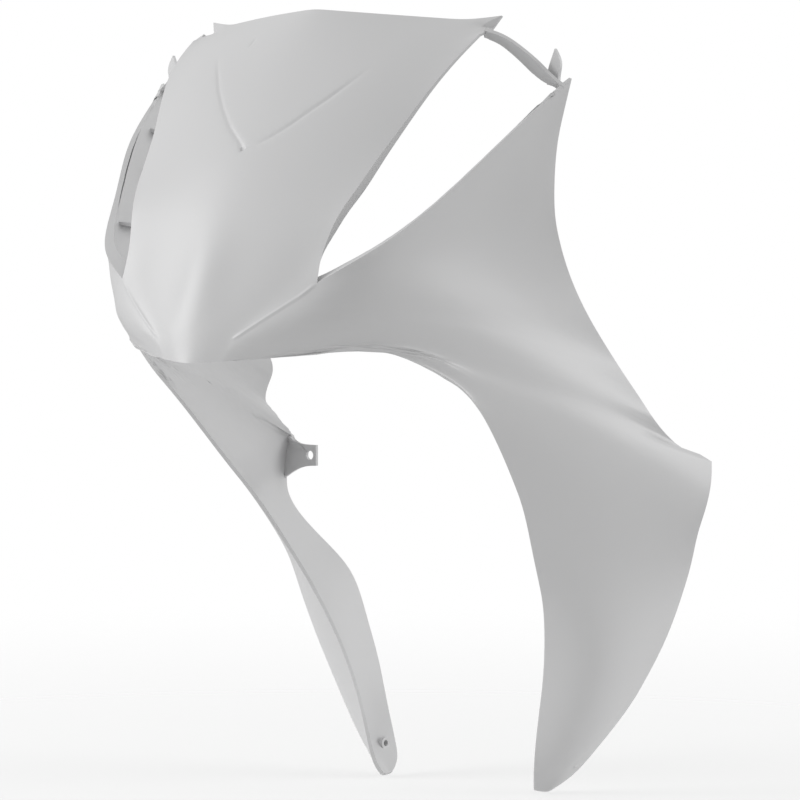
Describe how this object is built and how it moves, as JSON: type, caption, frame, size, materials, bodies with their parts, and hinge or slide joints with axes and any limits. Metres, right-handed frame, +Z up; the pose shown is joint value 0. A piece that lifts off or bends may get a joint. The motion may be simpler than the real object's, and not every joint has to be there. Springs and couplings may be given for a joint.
{
  "type": "motorcycle front cowl",
  "caption": "One-piece moulded front cowl of a motorcycle, with a pointed nose, two slanted headlight openings and two swept-down side wings.",
  "frame": {"origin": "midway between the holes of the two rear tabs, on their common plane", "axes": "+X to the right wing, +Y from the nose to the rear, +Z up as fitted on the motorcycle"},
  "size_m": [0.454, 0.4324, 0.6521],
  "materials": {
    "shell": "plain light grey moulded plastic with a soft satin gloss"
  },
  "bodies": {
    "root": {"front_cowl": "shell"}
  },
  "joints": []
}
